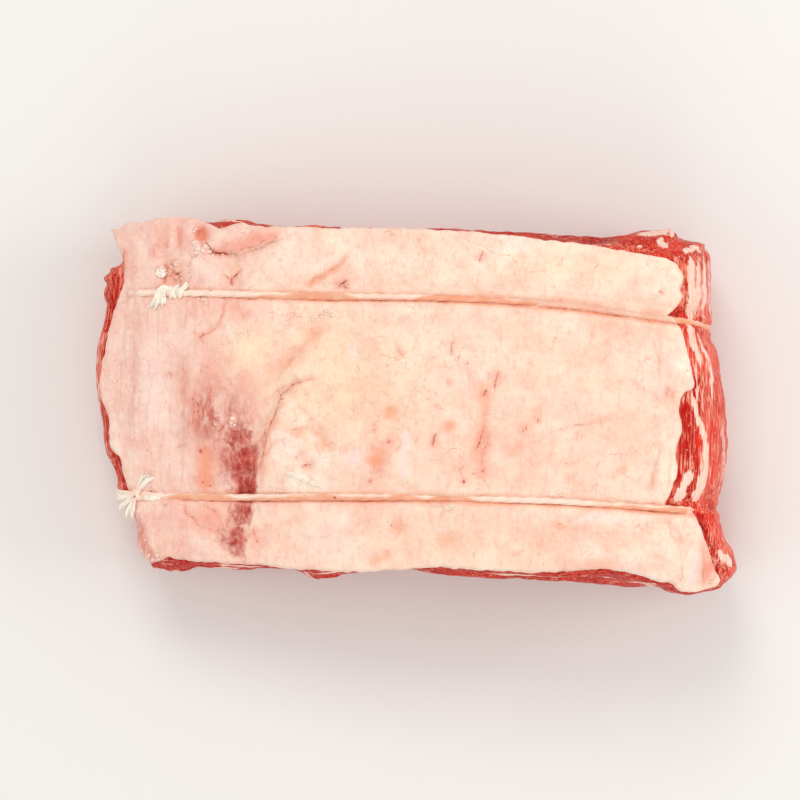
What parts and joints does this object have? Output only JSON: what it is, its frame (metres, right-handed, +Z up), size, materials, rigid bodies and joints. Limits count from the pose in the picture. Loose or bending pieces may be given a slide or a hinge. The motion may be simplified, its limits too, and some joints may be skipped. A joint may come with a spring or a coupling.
{
  "type": "boneless beef rib roast",
  "caption": "Raw boneless beef rib roast, fat side up, with a creamy fat cap over marbled red lean, tied with butcher's twine.",
  "frame": {"origin": "middle of the roast's box, on the flat underside that it rests on", "axes": "+X from the thin tail to the chine side, +Y along the loin from one cut face to the other, +Z up through the fat cap"},
  "size_m": [0.2914, 0.1674, 0.0883],
  "materials": {
    "lean_meat": "moist raw beef with white marbling and seams of fat",
    "fat": "moist cream fat, pinker over the tail",
    "twine": "matt twisted cotton, stained pink in places"
  },
  "bodies": {
    "root": {"lean": "lean_meat", "fat_cap": "fat", "twine_upper": "twine", "twine_lower": "twine"}
  },
  "joints": []
}
